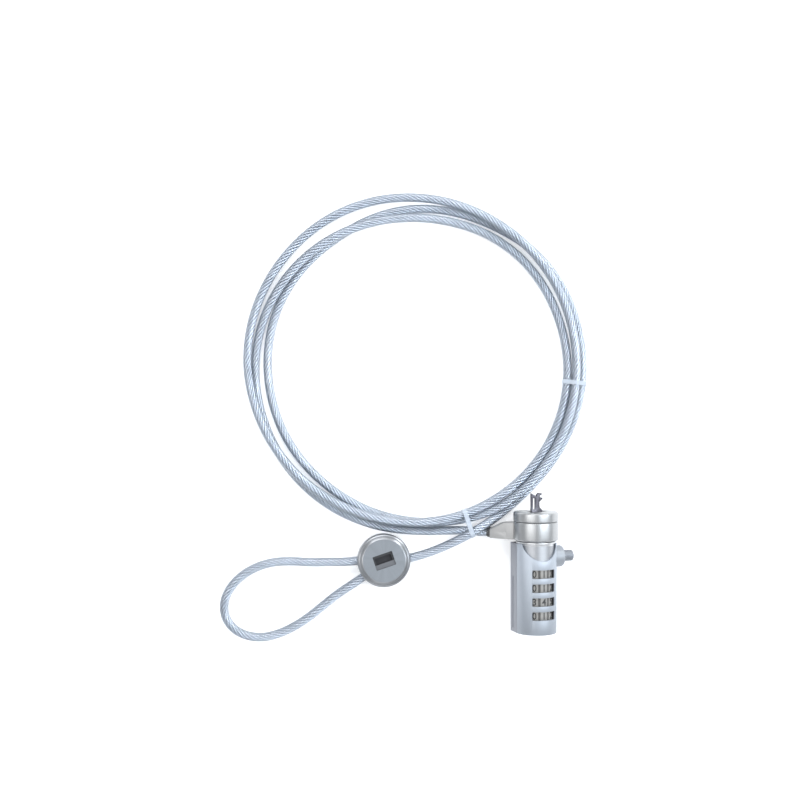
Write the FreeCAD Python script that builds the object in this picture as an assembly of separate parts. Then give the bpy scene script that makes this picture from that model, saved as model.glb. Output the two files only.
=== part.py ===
import FreeCAD, Part
import math
import os

# Laptop cable lock: a four-dial combination lock body with a swivelling cable ring,
# a coiled steel cable in a clear jacket, and a slotted round anchor on the cable's loop.
# Millimetres. The object lies on a table, z = 0. +Y is the way the claws point,
# +Z is up, and the lock's own axis is parallel to Y.
# Lock pieces are drawn upright about the lock axis (u = x sideways, y along the axis,
# w = z towards the dial windows), then rolled about the axis and lifted into place.

V = FreeCAD.Vector

# ---------------------------------------------------------------- driving dimensions
AXIS_X = 2.25         # lock axis, sideways place
AXIS_Z = 11.35        # lock axis, height over the table
ROLL = 20.0           # the lock body lies rolled over by this much, degrees
STEM_DROP = 20.0      # the stem points this far below the horizontal, degrees

BODY_R = 10.5         # half-round front of the body
BODY_BACK = 8.1       # depth of the body behind the axis
BODY_TOP = 9.6
BODY_BOTTOM = -35.6
COVER_WALL = 0.95
SHELL_WALL = 1.2

HEAD_R = 11.33
HEAD_FACE = 25.36     # front face, which meets the computer
CAP_BACK = 20.55
RING_FRONT = 20.4
RING_BACK = 11.06
NECK_R = 7.6
RING_BORE_R = 7.68

DIAL_PITCH = 6.95
DIAL_FIRST = -5.2
DIAL_COUNT = 4
DIAL_WIDTH = 5.4
DIAL_R = 7.9
DIAL_AXIS_W = 1.4     # the dial axis sits this far forward of the lock axis
DIAL_BORE_R = 5.7
WINDOW_HALF_ARC = 35.8
WINDOW_HEIGHT = 4.3

SCALLOP_R = 10.2
SCALLOP_Y = 11.35
SCALLOP_TURN = 0.0

BUTTON_Y = 2.3
BOSS_R = 5.4
BOSS_FACE = 14.4
KNOB_R = 2.85
KNOB_END = 20.65
BUTTON_SHAFT_R = 1.65
BUTTON_STROKE = 1.8
CONE_SLOPE = 0.4355   # draw bar travel over button travel

PIVOT_U = 0.3
PIVOT_Y = 19.5
CLAW_TIP = 34.7
CLAW_LAYER = 1.3      # thickness of one claw
CLAW_GAP = 0.05       # half the gap between the two claws

CABLE_D = 4.5
CABLE_R = CABLE_D / 2
COIL_HEIGHT = 9.1
COIL_CENTRE = (-58.86, 100.38)

ANCHOR_CENTRE = (-75.28, -0.37)
ANCHOR_R = 13.6
ANCHOR_BODY_H = 5.4
ANCHOR_H = 8.6
ANCHOR_BEVEL = 2.7
ANCHOR_TILT = 6.0
SLOT_TURN = 18.5      # long side of the slot, degrees from +X

# ---------------------------------------------------------------- helpers
os.makedirs("parts", exist_ok=True)


def cyl_y(r, y0, y1, u=0.0, w=0.0):
    return Part.makeCylinder(r, y1 - y0, V(u, y0, w), V(0, 1, 0))


def cyl_u(r, u0, u1, y=0.0, w=0.0):
    return Part.makeCylinder(r, u1 - u0, V(u0, y, w), V(1, 0, 0))


def cyl_w(r, w0, w1, u=0.0, y=0.0):
    return Part.makeCylinder(r, w1 - w0, V(u, y, w0), V(0, 0, 1))


def cone_y(r0, r1, y0, y1, u=0.0, w=0.0):
    return Part.makeCone(r0, r1, y1 - y0, V(u, y0, w), V(0, 1, 0))


def box(u0, u1, y0, y1, w0, w1):
    return Part.makeBox(u1 - u0, y1 - y0, w1 - w0, V(u0, y0, w0))


def plate_uy(points, w0, w1):
    """A flat plate with its outline in the u, y plane."""
    wire = Part.makePolygon([V(p[0], p[1], w0) for p in points] + [V(points[0][0], points[0][1], w0)])
    return Part.Face(wire).extrude(V(0, 0, w1 - w0))


def chamfered_cyl_y(r, y0, y1, c0, c1):
    """A cylinder along Y with a chamfer at each end, as one turned profile."""
    pts = [V(0, y0, 0), V(r - c0, y0, 0), V(r, y0 + c0, 0), V(r, y1 - c1, 0), V(r - c1, y1, 0), V(0, y1, 0)]
    if c0 == 0:
        pts.pop(1)
    if c1 == 0:
        pts.pop(-2)
    wire = Part.makePolygon(pts + [pts[0]])
    return Part.Face(wire).revolve(V(0, 0, 0), V(0, 1, 0), 360)


def turned_y(profile):
    """A turned piece: (radius, y) points, revolved about the lock axis."""
    pts = [V(r, y, 0) for r, y in profile]
    wire = Part.makePolygon(pts + [pts[0]])
    return Part.Face(wire).revolve(V(0, 0, 0), V(0, 1, 0), 360)


def chamfer(shape, size, test):
    edges = [e for e in shape.Edges if test(e)]
    if not edges:
        return shape
    done = shape.makeChamfer(size, edges)
    return done if done.isValid() and done.Volume > 0 else shape


def fillet(shape, size, test):
    edges = [e for e in shape.Edges if test(e)]
    if not edges:
        return shape
    done = shape.makeFillet(size, edges)
    return done if done.isValid() and done.Volume > 0 else shape


def near(a, b, tol=0.02):
    return abs(a - b) < tol


def spring(r_mean, r_wire, length, turns, base, direction):
    """A helical spring, its coil axis from base along direction."""
    helix = Part.makeHelix((length - 2 * r_wire) / turns, length - 2 * r_wire, r_mean)
    start = V(r_mean, 0, 0)
    ring = Part.Wire([Part.makeCircle(r_wire, start, V(0, 1, (length / turns) / (2 * math.pi * r_mean)))])
    coil = Part.Wire(helix.Edges).makePipeShell([ring], True, True)
    coil.translate(V(0, 0, r_wire))
    turn = FreeCAD.Rotation(V(0, 0, 1), direction)
    coil.Placement = FreeCAD.Placement(base, turn).multiply(coil.Placement)
    return coil


def rolled(shape):
    """From the upright lock frame to its place on the table."""
    s = shape.copy()
    s.rotate(V(0, 0, 0), V(0, 1, 0), ROLL)
    s.translate(V(AXIS_X, 0, AXIS_Z))
    return s


def lifted(shape):
    """For the ring side, which isn't rolled with the body."""
    s = shape.copy()
    s.translate(V(AXIS_X, 0, AXIS_Z))
    return s


nodes = {}

# ---------------------------------------------------------------- the casing
half_space_front = box(-20, 20, BODY_BOTTOM - 5, 40, 0, 20)
half_space_back = box(-20, 20, BODY_BOTTOM - 5, 40, -20, 0)

boss_hole = cyl_u(BOSS_R + 0.03, 8.0, 20, y=BUTTON_Y)

outer_back = box(-BODY_R, BODY_R, BODY_BOTTOM, BODY_TOP, -BODY_BACK, 0)
outer_back = fillet(
    outer_back, 0.8,
    lambda e: len(e.Vertexes) == 2 and all(near(v.Z, -BODY_BACK) for v in e.Vertexes)
    and all(near(abs(v.X), BODY_R) for v in e.Vertexes) and near(e.Vertexes[0].X, e.Vertexes[1].X)
    and not near(e.Vertexes[0].Y, e.Vertexes[1].Y),
)
outer_back = chamfer(
    outer_back, 0.28,
    lambda e: len(e.Vertexes) == 2 and all(near(v.Z, 0) for v in e.Vertexes)
    and near(e.Vertexes[0].X, e.Vertexes[1].X),
)
rear_shell = outer_back.cut(box(-BODY_R + SHELL_WALL, BODY_R - SHELL_WALL, BODY_BOTTOM - 1, BODY_TOP + 1,
                                -BODY_BACK + SHELL_WALL + 0.1, 1))
# a shallow groove along each flat side
for side in (-1, 1):
    u_in, u_out = sorted((side * (BODY_R - 0.35), side * (BODY_R + 1)))
    rear_shell = rear_shell.cut(box(u_in, u_out, -33.4, -7.5 if side < 0 else -8.5, -5.3, -3.1))
rear_shell = rear_shell.cut(boss_hole)
screw_ys = (5.5, -33.1)
for sy in screw_ys:
    rear_shell = rear_shell.cut(cyl_w(0.75, -BODY_BACK - 1, -5, 0, sy))
    rear_shell = rear_shell.cut(cyl_w(1.4, -BODY_BACK - 1, -BODY_BACK + 0.6, 0, sy))
nodes["rear_shell"] = rolled(rear_shell)

front_cover = cyl_y(BODY_R, BODY_BOTTOM, BODY_TOP).cut(cyl_y(BODY_R - COVER_WALL, BODY_BOTTOM - 1, BODY_TOP + 1))
front_cover = front_cover.common(half_space_front)
half_u = BODY_R * math.sin(math.radians(WINDOW_HALF_ARC))
for i in range(DIAL_COUNT):
    yc = DIAL_FIRST - i * DIAL_PITCH
    front_cover = front_cover.cut(box(-half_u, half_u, yc - WINDOW_HEIGHT / 2, yc + WINDOW_HEIGHT / 2, 4, 20))
scallop = Part.makeCylinder(SCALLOP_R, 20, V(0, SCALLOP_Y, 0),
                            V(math.sin(math.radians(SCALLOP_TURN)), 0, math.cos(math.radians(SCALLOP_TURN))))
front_cover = front_cover.cut(scallop).cut(boss_hole)
nodes["front_cover"] = rolled(front_cover)

# the round core inside, with its neck
core_profile_r = BODY_R - COVER_WALL - 0.05
core = cyl_y(core_profile_r, -1.6, 8.4).common(half_space_front)
core = core.fuse(box(-BODY_R + SHELL_WALL + 0.03, BODY_R - SHELL_WALL - 0.03, -1.6, 8.4,
                     -BODY_BACK + SHELL_WALL + 0.13, 0).common(cyl_y(11.0, -2, 9)))
shoulder = turned_y([(0, 8.4), (core_profile_r, 8.4), (core_profile_r, 8.7), (8.3, 10.4), (8.3, 10.85), (0, 10.85)])
shoulder = shoulder.common(half_space_front).fuse(shoulder.common(
    box(-BODY_R + SHELL_WALL + 0.03, BODY_R - SHELL_WALL - 0.03, 8.3, 11, -BODY_BACK + SHELL_WALL + 0.13, 0)))
core = core.fuse(shoulder)
core = core.fuse(cyl_y(NECK_R, 10.0, 23.2)).removeSplitter()
core = core.cut(cyl_u(BUTTON_SHAFT_R + 0.07, 0.0, 12, y=BUTTON_Y))        # button shaft
core = core.cut(cyl_u(3.12, 5.6, 12, y=BUTTON_Y))                          # button spring
core = core.cut(cyl_y(2.98, -0.4, 6.5))                                   # draw bar, lower bore
core = core.cut(cyl_y(1.75, 6.4, 7.3))                                    # spring seat
core = core.cut(cyl_y(2.98, 7.2, 24))                                     # draw bar and claws, upper bore
core = core.cut(cyl_y(2.2, -1.7, -0.6, w=DIAL_AXIS_W + 1.6))              # spigot of the spindle
core = core.cut(cyl_y(0.8, -1.7, -0.3, w=DIAL_AXIS_W - 2.6))              # push rod of the locking bar
core = core.cut(cyl_w(0.75, -9, 9, PIVOT_U, PIVOT_Y))                     # claw pivot pin
core = core.cut(cyl_w(0.7, -BODY_BACK, -5.3, 0, screw_ys[0]))
# groove for the retaining ring
core = core.cut(cyl_y(NECK_R + 1, 19.35, 19.95).cut(cyl_y(7.0, 19, 20)))
nodes["core_barrel"] = rolled(core)

end_plate = cyl_y(core_profile_r, -35.2, -31.9).common(half_space_front)
end_plate = end_plate.fuse(box(-BODY_R + SHELL_WALL + 0.03, BODY_R - SHELL_WALL - 0.03, -35.2, -31.9,
                               -BODY_BACK + SHELL_WALL + 0.13, 0)).removeSplitter()
end_plate = end_plate.cut(cyl_y(2.0, -33.4, -31.0, w=DIAL_AXIS_W))
end_plate = end_plate.cut(cyl_y(0.86, -36, -31, u=-6.0, w=-3.6)).cut(cyl_y(1.5, -36, -34.4, u=-6.0, w=-3.6))
end_plate = end_plate.cut(cyl_w(0.7, -BODY_BACK, -5.3, 0, screw_ys[1]))
nodes["end_plate"] = rolled(end_plate)

screws = []
for sy in screw_ys:
    s = cyl_w(0.7, -BODY_BACK + 0.6, -5.3, 0, sy).fuse(cyl_w(1.35, -BODY_BACK + 0.05, -BODY_BACK + 0.6, 0, sy))
    s = s.cut(box(-2, 2, sy - 0.15, sy + 0.15, -BODY_BACK - 0.1, -BODY_BACK + 0.35))
    s = s.cut(box(-0.15, 0.15, sy - 2, sy + 2, -BODY_BACK - 0.1, -BODY_BACK + 0.35))
    screws.append(rolled(s))
nodes["shell_screws"] = Part.makeCompound(screws)

reset = cyl_y(1.42, -35.15, -34.4, u=-6.0, w=-3.6).fuse(cyl_y(0.8, -34.4, -31.2, u=-6.0, w=-3.6))
reset = reset.cut(box(-8, -4, -35.3, -34.85, -3.6 - 0.2, -3.6 + 0.2))
nodes["reset_screw"] = rolled(reset)

# boss that the push pin slides in
housing = Part.Face(Part.makePolygon([V(8.2, BUTTON_Y, 0), V(8.2, BUTTON_Y + BOSS_R, 0), V(BOSS_FACE - 0.8, BUTTON_Y + BOSS_R, 0),
                                      V(BOSS_FACE - 0.25, BUTTON_Y + BOSS_R - 0.25, 0),
                                      V(BOSS_FACE, BUTTON_Y + BOSS_R - 0.8, 0), V(BOSS_FACE, BUTTON_Y, 0), V(8.2, BUTTON_Y, 0)]))
housing = housing.revolve(V(0, BUTTON_Y, 0), V(1, 0, 0), 360)
housing = housing.cut(cyl_u(3.12, 8.0, 13.45, y=BUTTON_Y)).cut(cyl_u(KNOB_R + 0.08, 13.2, 17, y=BUTTON_Y))
housing = housing.cut(cyl_y(core_profile_r + 0.03, -1.7, 8.45))
housing = housing.cut(box(7, 9.33, -10, 20, -10, 0))
nodes["button_housing"] = rolled(housing)

# ---------------------------------------------------------------- the head
cap = chamfered_cyl_y(HEAD_R, CAP_BACK, HEAD_FACE, 0.3, 0.55)
cap = cap.cut(cyl_y(NECK_R, CAP_BACK - 1, 23.2)).cut(cyl_y(5.0, 23.0, 24.2))
cap = cap.cut(box(PIVOT_U - 4.6, PIVOT_U + 4.9, 24.0, 26, -1.75, 1.75))
nodes["head_cap"] = rolled(cap)

clip = cyl_y(8.55, 19.4, 19.9).cut(cyl_y(7.0, 19, 20.5)).cut(box(-1.6, 1.6, 19, 20.5, -12, 0))
nodes["retaining_ring"] = rolled(clip)

ring = chamfered_cyl_y(HEAD_R, RING_BACK, RING_FRONT, 0.45, 0.3)
ring = ring.cut(cyl_y(RING_BORE_R, RING_BACK - 1, RING_FRONT + 1))
ring = ring.cut(cyl_y(8.75, 19.25, RING_FRONT + 1))

# ---------------------------------------------------------------- the stem, which points sideways and down
STEM_Y = 14.05
STEM_TIP = 23.4
stem_dir = V(-math.cos(math.radians(STEM_DROP)), 0, -math.sin(math.radians(STEM_DROP)))


def stemmed(shape):
    """From the stem's frame (+x outward along the stem) to its place."""
    s = shape.copy()
    s.rotate(V(0, 0, 0), V(0, 0, 1), 180)        # outward becomes -X, and y turns over
    s = s.mirror(V(0, 0, 0), V(0, 1, 0))         # put y back
    s.rotate(V(0, 0, 0), V(0, 1, 0), -STEM_DROP)
    s.translate(V(AXIS_X, 0, AXIS_Z))
    return s


stem_outline = [(8.9, 11.1), (12.0, 11.1), (STEM_TIP, 11.3), (STEM_TIP, 16.4), (18.2, 19.1), (16.8, 19.45), (8.9, 19.75)]
stem = plate_uy(stem_outline, -4.0, 4.0)
# the two broad faces close in towards the tip
for side in (-1, 1):
    wedge = Part.Face(Part.makePolygon([V(8.0, 0, side * 4.4), V(30, 0, side * 4.4), V(30, 0, side * 2.0),
                                        V(STEM_TIP, 0, side * 2.75), V(14.0, 0, side * 3.9), V(8.0, 0, side * 4.4)]))
    stem = stem.cut(wedge.extrude(V(0, 30, 0)))
for side in (-1, 1):
    # a bevel along the slanted upper edge
    stem = chamfer(
        stem, 0.9,
        lambda e, s=side: len(e.Vertexes) == 2 and all(v.Z * s > 2.5 for v in e.Vertexes)
        and all(v.X > 16.0 for v in e.Vertexes) and all(v.Y > 16.0 for v in e.Vertexes)
        and abs(e.Vertexes[0].Y - e.Vertexes[1].Y) > 1.0,
    )
stem = stem.cut(cyl_y(HEAD_R, 5, 25)).fuse(cyl_u(3.0, 9.0, 12.0, y=15.3)).removeSplitter()
stem = stem.cut(cyl_u(CABLE_R + 0.02, 13.2, 30, y=STEM_Y))
stem = stem.cut(cyl_u(2.42, STEM_TIP - 1.6, 30, y=STEM_Y))
stem = stem.cut(cyl_w(0.8, -9, 9, 15.4, STEM_Y))
nodes["cable_stem"] = stemmed(stem)

ring = lifted(ring).cut(stemmed(cyl_u(3.0, 9.0, 13.0, y=15.3)))
nodes["swivel_ring"] = ring

ferrule = cyl_u(CABLE_R, 13.4, 17.4, y=STEM_Y).cut(cyl_w(0.8, -9, 9, 15.4, STEM_Y))
nodes["cable_ferrule"] = stemmed(ferrule)
cross_pin = cyl_w(0.8, -3.75, 3.75, 15.4, STEM_Y)
nodes["stem_cross_pin"] = stemmed(cross_pin)
bush = Part.Face(Part.makePolygon([V(STEM_TIP - 1.6, STEM_Y + CABLE_R, 0), V(STEM_TIP - 1.6, STEM_Y + 2.41, 0),
                                   V(STEM_TIP, STEM_Y + 2.41, 0), V(STEM_TIP, STEM_Y + 2.7, 0),
                                   V(STEM_TIP + 0.5, STEM_Y + 2.7, 0), V(STEM_TIP + 1.9, STEM_Y + 2.45, 0),
                                   V(STEM_TIP + 1.9, STEM_Y + CABLE_R, 0), V(STEM_TIP - 1.6, STEM_Y + CABLE_R, 0)]))
bush = bush.revolve(V(0, STEM_Y, 0), V(1, 0, 0), 360)
nodes["stem_bush"] = stemmed(bush)

# ---------------------------------------------------------------- dials, sleeves, spindle
dial_ys = [DIAL_FIRST - i * DIAL_PITCH for i in range(DIAL_COUNT)]
for i, yc in enumerate(dial_ys):
    y0, y1 = yc - DIAL_WIDTH / 2, yc + DIAL_WIDTH / 2
    dial = cyl_y(DIAL_R, y0, y1, w=DIAL_AXIS_W).cut(cyl_y(DIAL_BORE_R, y0 - 1, y1 + 1, w=DIAL_AXIS_W))
    for k in range(10):
        # a finger notch between each two digits
        a = math.radians(36 * k + 18)
        dial = dial.cut(cyl_y(0.62, y0 - 1, y1 + 1, u=(DIAL_R + 0.12) * math.sin(a),
                              w=DIAL_AXIS_W + (DIAL_R + 0.12) * math.cos(a)))
    key = box(-0.6, 0.6, yc - 1.8, yc + 1.8, DIAL_AXIS_W - 6.3, DIAL_AXIS_W - 5.0)
    dial = dial.cut(box(-0.62, 0.62, y0 - 1, y1 + 1, DIAL_AXIS_W - 6.32, DIAL_AXIS_W - 5.0))
    nodes["dial_%d" % (i + 1)] = rolled(dial)
    sleeve = cyl_y(DIAL_BORE_R - 0.03, yc - 1.8, yc + 1.8, w=DIAL_AXIS_W).fuse(key)
    sleeve = sleeve.cut(cyl_y(3.28, yc - 3, yc + 3, w=DIAL_AXIS_W)).removeSplitter()
    # the gate that the locking bar's fin passes at the right number
    sleeve = sleeve.cut(box(-0.95, 0.95, yc - 3, yc + 3, DIAL_AXIS_W + 2.0, DIAL_AXIS_W + 4.9))
    nodes["code_sleeve_%d" % (i + 1)] = rolled(sleeve)

spindle = cyl_y(3.2, -31.9, -1.6, w=DIAL_AXIS_W).fuse(cyl_y(2.0, -33.4, -31.9, w=DIAL_AXIS_W))
spindle = spindle.cut(box(-0.75, 0.75, -31.0, -1.0, DIAL_AXIS_W - 3.3, DIAL_AXIS_W + 5))
spindle = spindle.fuse(cyl_y(1.2, -1.7, -0.6, w=DIAL_AXIS_W + 1.6).cut(box(-0.75, 0.75, -31.0, 0, -9, DIAL_AXIS_W)))
spindle = spindle.removeSplitter()
nodes["dial_spindle"] = rolled(spindle)

bar = box(-0.65, 0.65, -29.6, -2.1, DIAL_AXIS_W - 3.05, DIAL_AXIS_W + 3.05)
for i in range(DIAL_COUNT):
    yf = dial_ys[i] + DIAL_PITCH / 2 + 0.9      # the fin waits in the gap over its sleeve
    if i == 0:
        yf = -2.3
    bar = bar.fuse(box(-0.65, 0.65, yf - 0.3, yf + 0.3, DIAL_AXIS_W, DIAL_AXIS_W + 4.4))
bar = bar.fuse(cyl_y(0.65, -2.2, 0.42, w=DIAL_AXIS_W - 2.6)).removeSplitter()
nodes["locking_bar"] = rolled(bar)

spacers = []
for i in range(DIAL_COUNT - 1):
    ym = (dial_ys[i] + dial_ys[i + 1]) / 2
    s = cyl_y(9.15, ym - 0.4, ym + 0.4).cut(cyl_y(4.9, ym - 1, ym + 1, w=DIAL_AXIS_W))
    s = s.common(box(-10, 10, ym - 1, ym + 1, -6.5, 10))
    spacers.append(rolled(s))
nodes["dial_spacers"] = Part.makeCompound(spacers)

detent = box(-9.2, -4.2, -31.8, -1.7, -6.79, -6.55)
for yc in dial_ys:
    leaf = Part.Face(Part.makePolygon([V(-8.6, 0, -6.6), V(-7.2, 0, -6.6), V(-6.15, 0, -4.35), V(-6.45, 0, -4.2),
                                       V(-7.35, 0, -6.1), V(-8.6, 0, -6.25), V(-8.6, 0, -6.6)]))
    leaf.translate(V(0, yc - 1.5, 0))
    detent = detent.fuse(leaf.extrude(V(0, 3.0, 0)))
nodes["detent_spring"] = rolled(detent.removeSplitter())

# ---------------------------------------------------------------- push pin and draw bar
button = Part.Face(Part.makePolygon([
    V(0.9, BUTTON_Y, 0), V(0.9, BUTTON_Y + 0.3, 0), V(0.9 + (BUTTON_SHAFT_R - 0.3) / CONE_SLOPE, BUTTON_Y + BUTTON_SHAFT_R, 0),
    V(11.7, BUTTON_Y + BUTTON_SHAFT_R, 0), V(11.7, BUTTON_Y + 3.06, 0), V(13.1, BUTTON_Y + 3.06, 0),
    V(13.1, BUTTON_Y + KNOB_R, 0), V(KNOB_END - 0.5, BUTTON_Y + KNOB_R, 0), V(KNOB_END, BUTTON_Y + KNOB_R - 0.5, 0),
    V(KNOB_END, BUTTON_Y, 0), V(0.9, BUTTON_Y, 0)]))
button = button.revolve(V(0, BUTTON_Y, 0), V(1, 0, 0), 360)
nodes["release_button"] = rolled(button)

nodes["button_spring"] = rolled(spring(2.35, 0.28, 11.6 - 5.7, 6, V(5.7, BUTTON_Y, 0), V(1, 0, 0)))

draw = cyl_y(2.9, 0.55, 5.6).fuse(cyl_y(1.65, 5.5, 13.2)).fuse(cyl_y(2.9, 12.1, 13.3))
ramp0 = BUTTON_Y - 0.3 - 0.12 + (0.9 + 1.3) * CONE_SLOPE
ramp1 = BUTTON_Y - 0.3 - 0.12 - (3.6 - 0.9) * CONE_SLOPE
draw = draw.cut(plate_uy([(-1.3, ramp0), (3.6, ramp1), (3.6, 5.0), (-1.3, 5.0)], -3.5, 3.5))
for side in (-1, 1):
    w0, w1 = sorted((side * 1.46, side * 2.3))
    fork = plate_uy([(-1.7, 13.2), (1.7, 13.2), (1.7, 17.3), (-1.7, 17.3)], w0, w1)
    # the slanted cam slot for one claw's tail pin
    lean = side * 0.4357
    lo, hi = PIVOT_U + lean * 0.75, PIVOT_U - lean * 1.6
    cam = plate_uy([(lo - 0.62, 15.25), (lo + 0.62, 15.25), (hi + 0.62, 17.6), (hi - 0.62, 17.6)], w0 - 1, w1 + 1)
    draw = draw.fuse(fork.cut(cam))
nodes["draw_bar"] = rolled(draw.removeSplitter())

nodes["draw_bar_spring"] = rolled(spring(2.3, 0.26, 12.05 - 7.35, 5, V(0, 7.35, 0), V(0, 1, 0)))

# ---------------------------------------------------------------- the two hooked claws
hub_r = 2.1
lw0, lw1 = CLAW_GAP, CLAW_GAP + CLAW_LAYER
left = plate_uy([(-0.75, 15.5), (1.35, 15.5), (1.6, 21.0), (0.35, 23.4), (0.05, 25.0), (0.05, 33.2), (-3.0, CLAW_TIP),
                 (-3.07, 34.4), (-3.07, 25.6), (-2.3, 23.4), (-1.1, 21.0)], lw0, lw1)
left = left.fuse(cyl_w(hub_r, lw0, lw1, PIVOT_U, PIVOT_Y))
left = left.cut(box(-2.05, -0.85, 26.6, 32.2, lw0 - 1, lw1 + 1))
left = left.cut(cyl_w(0.82, lw0 - 1, lw1 + 1, PIVOT_U, PIVOT_Y))
left = left.fuse(cyl_w(0.45, lw1 - 0.1, 2.28, PIVOT_U, 16.0)).removeSplitter()
nodes["claw_left"] = rolled(left)

rw0, rw1 = -CLAW_GAP - CLAW_LAYER, -CLAW_GAP
right = plate_uy([(-0.75, 15.5), (1.35, 15.5), (1.7, 21.0), (2.2, 23.3), (3.5, 24.3), (3.9, 25.0), (3.9, 25.8), (2.3, 27.6), (2.2, 30.2),
                  (3.9, 31.6), (3.9, 32.2), (2.45, 32.6), (2.35, 33.2), (3.85, 34.1), (3.2, 34.6), (1.7, CLAW_TIP),
                  (0.75, 33.9), (0.75, 27.8), (0.4, 25.4), (-0.1, 23.0), (-1.0, 21.0)], rw0, rw1)
right = right.fuse(cyl_w(hub_r, rw0, rw1, PIVOT_U, PIVOT_Y))
right = right.cut(cyl_w(0.82, rw0 - 1, rw1 + 1, PIVOT_U, PIVOT_Y))
right = right.fuse(cyl_w(0.45, -2.28, rw0 + 0.1, PIVOT_U, 16.0)).removeSplitter()
nodes["claw_right"] = rolled(right)
nodes["claw_pivot_pin"] = rolled(cyl_w(0.75, -6.0, 6.0, PIVOT_U, PIVOT_Y))

# ---------------------------------------------------------------- the cable


def tube(points, name, diameter=CABLE_D):
    """Straight runs joined by tangent arcs, each as large as its two runs allow."""
    pts = [V(*p) for p in points]
    edges = []
    here = pts[0]
    radii = []
    for a, b, c in zip(pts, pts[1:], pts[2:]):
        d0, d1 = (b - a), (c - b)
        l0, l1 = d0.Length, d1.Length
        d0.normalize()
        d1.normalize()
        turn = d0.getAngle(d1)
        radius = 0.45 * min(l0, l1) / math.tan(turn / 2)
        cut_back = radius * math.tan(turn / 2)
        p0 = b - d0 * cut_back
        p1 = b + d1 * cut_back
        to_centre = (d1 - d0)
        to_centre.normalize()
        centre = b + to_centre * (radius / math.cos(turn / 2))
        mid = centre - to_centre * radius
        edges.append(Part.LineSegment(here, p0).toShape())
        edges.append(Part.Arc(p0, mid, p1).toShape())
        here = p1
        radii.append(radius)
    edges.append(Part.LineSegment(here, pts[-1]).toShape())
    wire = Part.Wire(edges)
    first = pts[1] - pts[0]
    profile = Part.Wire([Part.makeCircle(diameter / 2, pts[0], first)])
    solid = wire.makePipeShell([profile], True, False)
    want = math.pi * diameter * diameter / 4 * wire.Length
    print("%s: %.1f mm long, radii %s, volume %.4f of section times length, valid %s"
          % (name, wire.Length, " ".join("%.0f" % r for r in radii), solid.Volume / want, solid.isValid()))
    return solid


def on_stem(r):
    return (AXIS_X + stem_dir.x * r, STEM_Y, AXIS_Z + stem_dir.z * r)


LEAD = [on_stem(17.4), on_stem(25.9), (-29.56, 14.35, 2.27), (-36.02, 15.27, 2.28)]
nodes["cable_lead"] = tube(LEAD, "cable_lead")

TAIL = [(-14.61, 23.77, 3.00), (-20.98, 19.27, 5.70), (-28.00, 15.10, 7.45), (-35.96, 11.25, 6.80), (-45.52, 7.33, 4.55),
        (-55.36, 4.05, 3.35), (-65.36, 1.75, 3.15), (-75.96, 0.60, 4.15), (-87.56, -0.55, 5.20)]
nodes["cable_tail"] = tube(TAIL, "cable_tail")

LOOP = [(-87.56, -0.55, 5.20), (-95.31, -1.20, 4.65), (-103.16, -1.25, 3.30), (-112.36, -1.75, 2.42), (-122.16, -1.00, 2.27),
        (-131.66, -1.40, 2.26), (-140.91, -4.05, 2.26), (-148.96, -9.05, 2.26), (-154.56, -15.30, 2.26), (-157.36, -22.40, 2.26),
        (-156.86, -29.50, 2.26), (-152.76, -35.80, 2.26), (-145.66, -39.60, 2.26), (-137.56, -40.50, 2.26),
        (-129.76, -38.80, 2.26), (-121.56, -35.10, 2.26), (-113.86, -30.20, 2.27), (-106.66, -24.30, 2.45),
        (-99.46, -18.30, 3.35), (-91.86, -13.20, 4.60), (-85.16, -8.60, 5.42), (-81.86, -6.10, 5.10)]
nodes["cable_loop"] = tube(LOOP, "cable_loop")

# the tied coil: inner and outer radius every ten degrees about its centre
COIL_IN = [75.7, 75.0, 74.5, 74.5, 74.5, 74.5, 73.7, 73.2, 72.7, 72.7, 73.7, 73.7, 73.7, 73.7, 73.7, 73.9, 73.9, 73.4,
           73.4, 73.4, 73.4, 73.7, 73.9, 74.2, 75.0, 76.0, 77.3, 78.6, 78.8, 78.3, 77.8, 77.8, 77.5, 77.0, 76.5, 76.0]
COIL_OUT = [88.3, 88.1, 87.5, 87.3, 86.8, 86.3, 86.3, 86.8, 87.5, 88.3, 89.1, 89.9, 90.1, 89.9, 89.9, 89.9, 89.9, 89.6,
            89.1, 88.3, 87.3, 86.5, 86.3, 87.3, 87.5, 87.5, 87.6, 87.8, 88.6, 89.1, 88.6, 87.9, 87.7, 88.3, 88.3, 88.6]


def outline(radii):
    n = len(radii)
    pts = []
    for i, r in enumerate(radii):
        nxt = radii[(i + 1) % n]
        for f in (0.0, 0.5):
            a = math.radians((i + f) * 360.0 / n)
            rr = r + (nxt - r) * f
            pts.append(V(COIL_CENTRE[0] + rr * math.cos(a), COIL_CENTRE[1] + rr * math.sin(a), 0.0))
    return Part.Face(Part.makePolygon(pts + [pts[0]]))


coil = outline(COIL_OUT).extrude(V(0, 0, COIL_HEIGHT)).cut(outline(COIL_IN).extrude(V(0, 0, COIL_HEIGHT)))
nodes["cable_coil"] = coil


def tie(angle, r0, r1, height, width=2.3, wall=0.45):
    s = Part.makeBox(r1 - r0, width, height, V(r0, -width / 2, 0))
    s = fillet(s, 1.6, lambda e: len(e.Vertexes) == 2 and not near(e.Vertexes[0].Y, e.Vertexes[1].Y)
               and all(near(v.Z, height) for v in e.Vertexes))
    hole = Part.makeBox(r1 - r0 - 2 * wall, width + 2, height - 2 * wall, V(r0 + wall, -width / 2 - 1, wall))
    hole = fillet(hole, 1.2, lambda e: len(e.Vertexes) == 2 and not near(e.Vertexes[0].Y, e.Vertexes[1].Y)
                  and all(near(v.Z, height - wall) for v in e.Vertexes))
    s = s.cut(hole)
    s.rotate(V(0, 0, 0), V(0, 0, 1), angle)
    s.translate(V(COIL_CENTRE[0], COIL_CENTRE[1], 0))
    return s


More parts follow.
